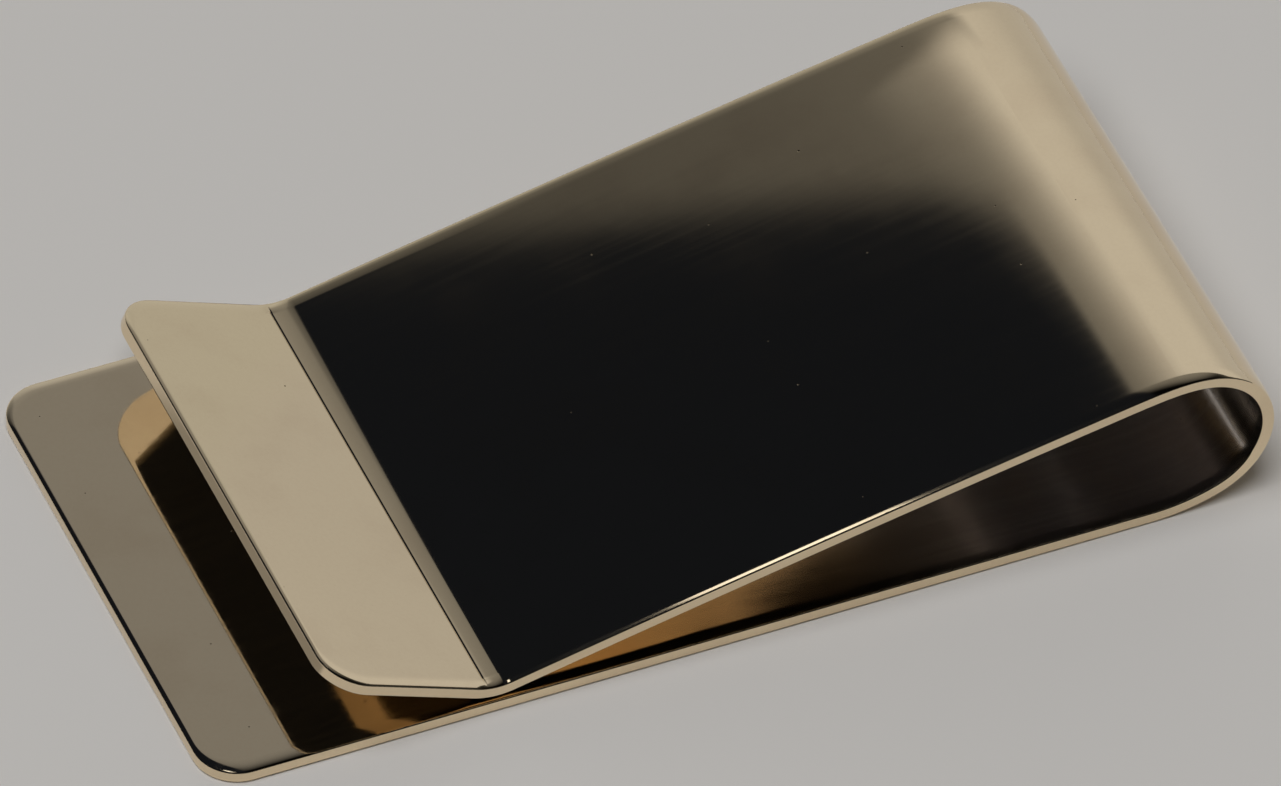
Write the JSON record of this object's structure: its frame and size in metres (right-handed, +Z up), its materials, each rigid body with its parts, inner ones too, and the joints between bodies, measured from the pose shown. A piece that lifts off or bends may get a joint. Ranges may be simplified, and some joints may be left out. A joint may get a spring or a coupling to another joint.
{
  "type": "money clip",
  "caption": "Sprung strip folded over a teardrop loop, with a sloping front leaf, a pinch bend and a flared thumb lip, that grips folded banknotes or cards.",
  "frame": {"origin": "centre of the overall box at the level of the underside that the clip rests on", "axes": "+X from the free ends towards the loop, +Y across the strip, +Z up, from the rear leaf towards the front leaf"},
  "size_m": [0.05, 0.025, 0.0082],
  "materials": {
    "brass": "mirror-polished, pale champagne gold"
  },
  "bodies": {
    "rear_half": {"rear_leaf": "brass", "heel_bend": "brass", "loop_rise": "brass", "loop_apex_low": "brass"},
    "front_half": {"loop_apex_high": "brass", "loop_shoulder": "brass", "front_leaf": "brass", "pinch_bend": "brass", "thumb_lip": "brass"}
  },
  "joints": [
    {"name": "loop_flex", "type": "hinge", "parent": "rear_half", "child": "front_half", "pos_m": [0.02483, 0, 0.00544], "axis": [0, 1, 0], "range_deg": [0, 9], "stiffness_Nm_per_rad": 2.1, "springref_deg": -0.57}
  ]
}
